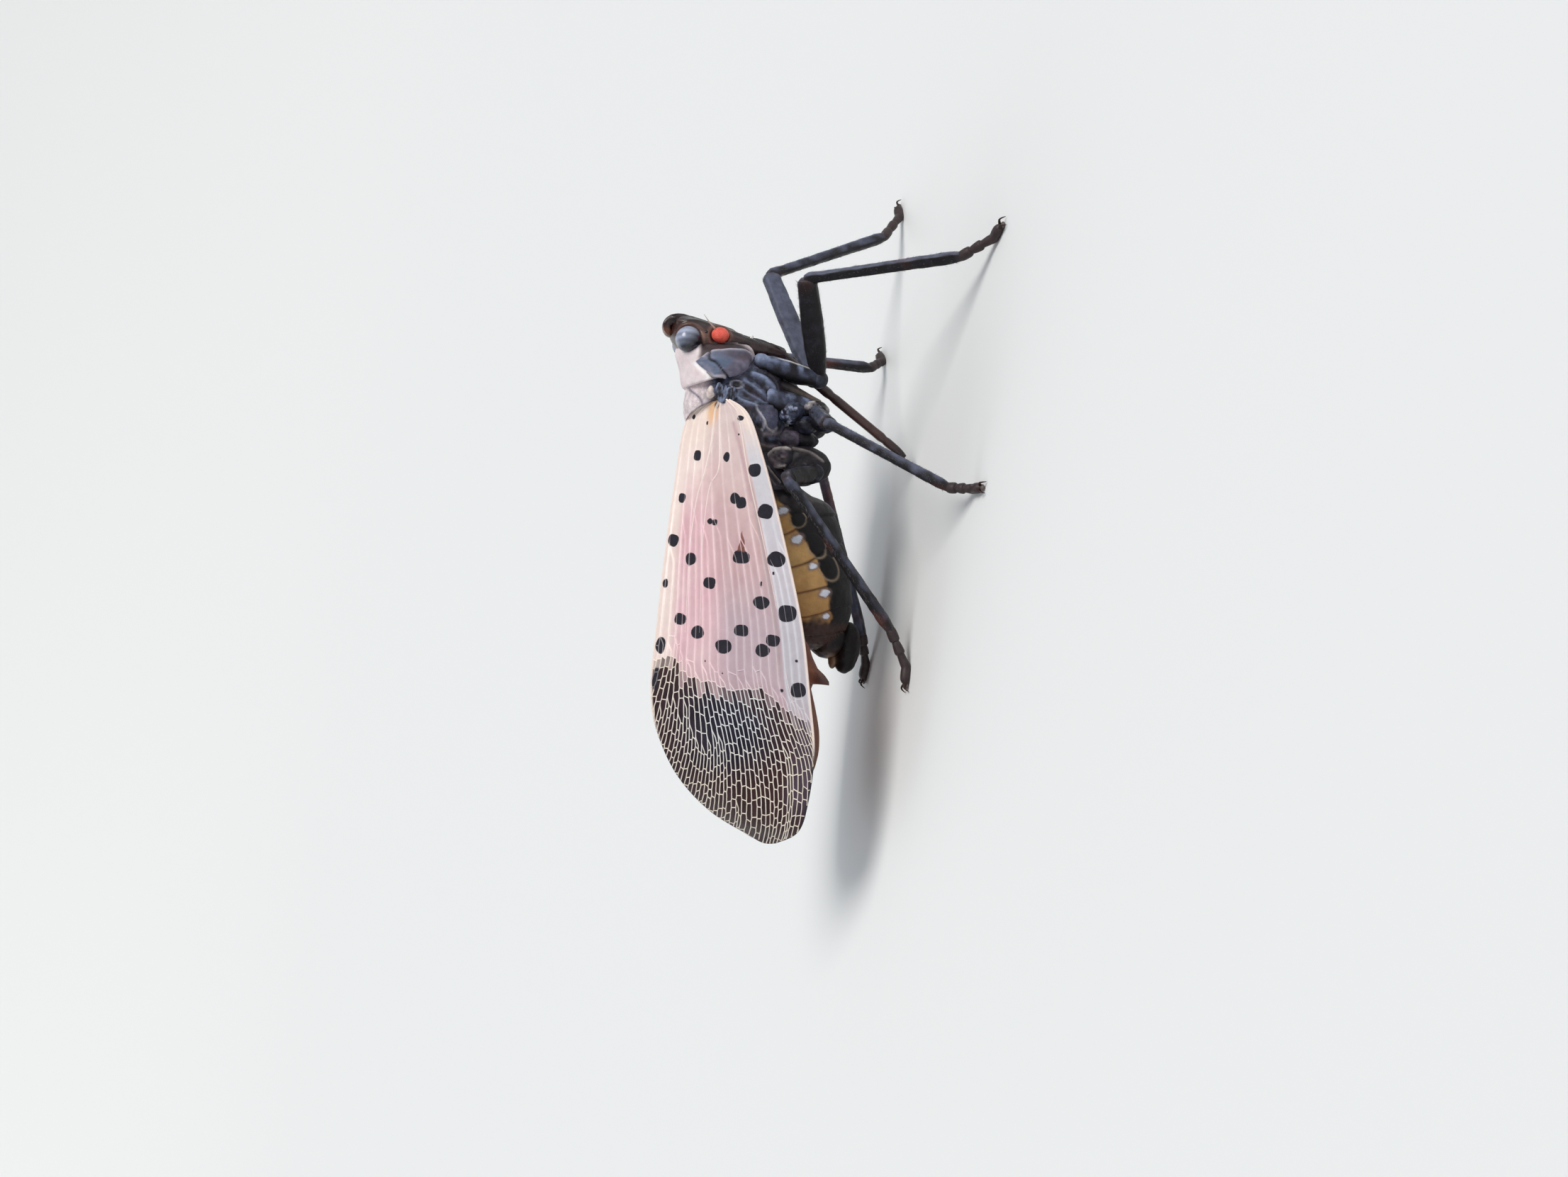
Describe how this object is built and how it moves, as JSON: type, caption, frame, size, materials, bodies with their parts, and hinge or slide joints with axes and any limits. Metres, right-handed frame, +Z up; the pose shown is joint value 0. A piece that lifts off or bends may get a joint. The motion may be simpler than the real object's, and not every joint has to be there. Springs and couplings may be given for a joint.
{
  "type": "spotted lanternfly",
  "caption": "Spotted lanternfly at rest, wings folded like a roof over its body, beak under it and feet flat on the floor.",
  "frame": {"origin": "centre of the bounding box in plan, on the floor that the feet stand on", "axes": "+X forwards, the way the head faces; +Y to the insect's left; +Z up"},
  "size_m": [0.0336, 0.0202, 0.0131],
  "materials": {
    "forewing": "pinkish cream membrane with black spots, a pale net over black at the tip",
    "hindwing": "reddish-brown membrane",
    "eye": "glossy grey-black",
    "antenna": "bright red-orange, finely pitted",
    "tegula": "chalky white",
    "leg_cuticle": "dark brown-black with short pale hairs",
    "waxy_cuticle": "blue-grey with a waxy bloom",
    "head_cuticle": "dark maroon-brown, slightly shiny",
    "pronotum": "pinkish white to lavender grey, waxy",
    "abdomen": "yellow-orange with dark bands and white wax spots",
    "tail_cuticle": "black, finely hairy"
  },
  "bodies": {
    "root": {"abdomen": "abdomen", "antenna_left": "antenna", "antenna_right": "antenna", "coxa_fore_left": "waxy_cuticle", "coxa_fore_right": "waxy_cuticle", "coxa_hind_left": "waxy_cuticle", "coxa_hind_right": "waxy_cuticle", "coxa_mid_left": "waxy_cuticle", "coxa_mid_right": "waxy_cuticle", "eye_left": "eye", "eye_right": "eye", "femur_fore_left": "leg_cuticle", "femur_fore_right": "leg_cuticle", "femur_hind_left": "leg_cuticle", "femur_hind_right": "leg_cuticle", "femur_mid_left": "leg_cuticle", "femur_mid_right": "leg_cuticle", "forewing_left": "forewing", "forewing_right": "forewing", "head": "head_cuticle", "hindwing_left": "hindwing", "hindwing_right": "hindwing", "pronotum": "pronotum", "rostrum": "head_cuticle", "tarsus_fore_left": "leg_cuticle", "tarsus_fore_right": "leg_cuticle", "tarsus_hind_left": "leg_cuticle", "tarsus_hind_right": "leg_cuticle", "tarsus_mid_left": "leg_cuticle", "tarsus_mid_right": "leg_cuticle", "tegula_left": "tegula", "tegula_right": "tegula", "terminalia": "tail_cuticle", "thorax": "waxy_cuticle", "tibia_fore_left": "leg_cuticle", "tibia_fore_right": "leg_cuticle", "tibia_hind_left": "leg_cuticle", "tibia_hind_right": "leg_cuticle", "tibia_mid_left": "leg_cuticle", "tibia_mid_right": "leg_cuticle"}
  },
  "joints": []
}
